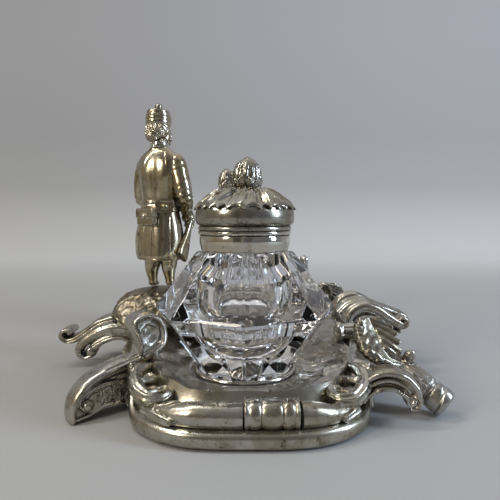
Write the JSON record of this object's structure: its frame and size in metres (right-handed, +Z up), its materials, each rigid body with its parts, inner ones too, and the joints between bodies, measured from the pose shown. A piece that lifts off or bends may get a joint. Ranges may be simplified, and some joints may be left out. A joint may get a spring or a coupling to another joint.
{
  "type": "desk inkstand",
  "caption": "Figural desk inkstand: a silvered scroll-footed base with cut-glass ink bottles, hinged domed lids and a standing rifleman on a hollow rock.",
  "frame": {"origin": "bottom centre of the whole stand, on the table", "axes": "+Z up; X along the stand's long axis, with +X to the writer's right; the writer sits at -Y, and the figure stands at +Y"},
  "size_m": [0.172, 0.174, 0.1298],
  "materials": {
    "silver": "old silver plate, polished high spots over tarnish",
    "bright_silver": "polished old silver",
    "dark_silver": "chased, darkened silver",
    "brass": "dull brass",
    "glass": "clear cut glass"
  },
  "bodies": {
    "stand": {"back_left_flank": "silver", "back_left_scroll_foot": "silver", "back_ribbon": "silver", "back_right_flank": "silver", "back_right_scroll_foot": "silver", "base_plate": "silver", "figure_belt": "silver", "figure_cap": "silver", "figure_cap_ball": "bright_silver", "figure_coat": "silver", "figure_collar": "bright_silver", "figure_head": "silver", "figure_left_arm": "silver", "figure_left_leg": "silver", "figure_left_pouch": "silver", "figure_right_arm": "silver", "figure_right_leg": "silver", "figure_right_pouch": "silver", "front_left_flank": "silver", "front_left_leaf": "silver", "front_left_log_foot": "dark_silver", "front_left_scroll_foot": "silver", "front_left_scroll_roll": "silver", "front_ribbon": "silver", "front_right_flank": "silver", "front_right_leaf": "silver", "front_right_log_foot": "dark_silver", "front_right_scroll_foot": "silver", "front_right_scroll_roll": "silver", "left_roll_back": "silver", "left_roll_clasp": "silver", "left_roll_front": "silver", "left_seat_ring": "bright_silver", "mound_stud": "brass", "pen_rest": "silver", "rifle_barrel": "dark_silver", "rifle_stock": "dark_silver", "right_roll_back": "silver", "right_roll_clasp": "silver", "right_roll_front": "silver", "right_seat_ring": "bright_silver", "rock_mound": "dark_silver", "stud_nut": "brass"},
    "left_bottle": {"left_collar": "bright_silver", "left_glass": "glass", "left_hinge_pin": "dark_silver"},
    "right_bottle": {"right_collar": "bright_silver", "right_glass": "glass", "right_hinge_pin": "dark_silver"},
    "left_lid": {"left_large_nut": "bright_silver", "left_lid": "silver", "left_small_nut": "bright_silver"},
    "right_lid": {"right_large_nut": "bright_silver", "right_lid": "silver", "right_small_nut": "bright_silver"}
  },
  "joints": [
    {"name": "left_bottle_lift", "type": "slide", "parent": "stand", "child": "left_bottle", "axis": [0, 0, 1], "range_m": [0, 0.06]},
    {"name": "left_lid_hinge", "type": "hinge", "parent": "left_bottle", "child": "left_lid", "pos_m": [-0.0314, -0.00524, 0.06785], "axis": [0, 1, 0], "range_deg": [0, 100]},
    {"name": "right_bottle_lift", "type": "slide", "parent": "stand", "child": "right_bottle", "axis": [0, 0, 1], "range_m": [0, 0.06]},
    {"name": "right_lid_hinge", "type": "hinge", "parent": "right_bottle", "child": "right_lid", "pos_m": [0.0686, -0.00524, 0.06785], "axis": [0, 1, 0], "range_deg": [0, 100]}
  ]
}
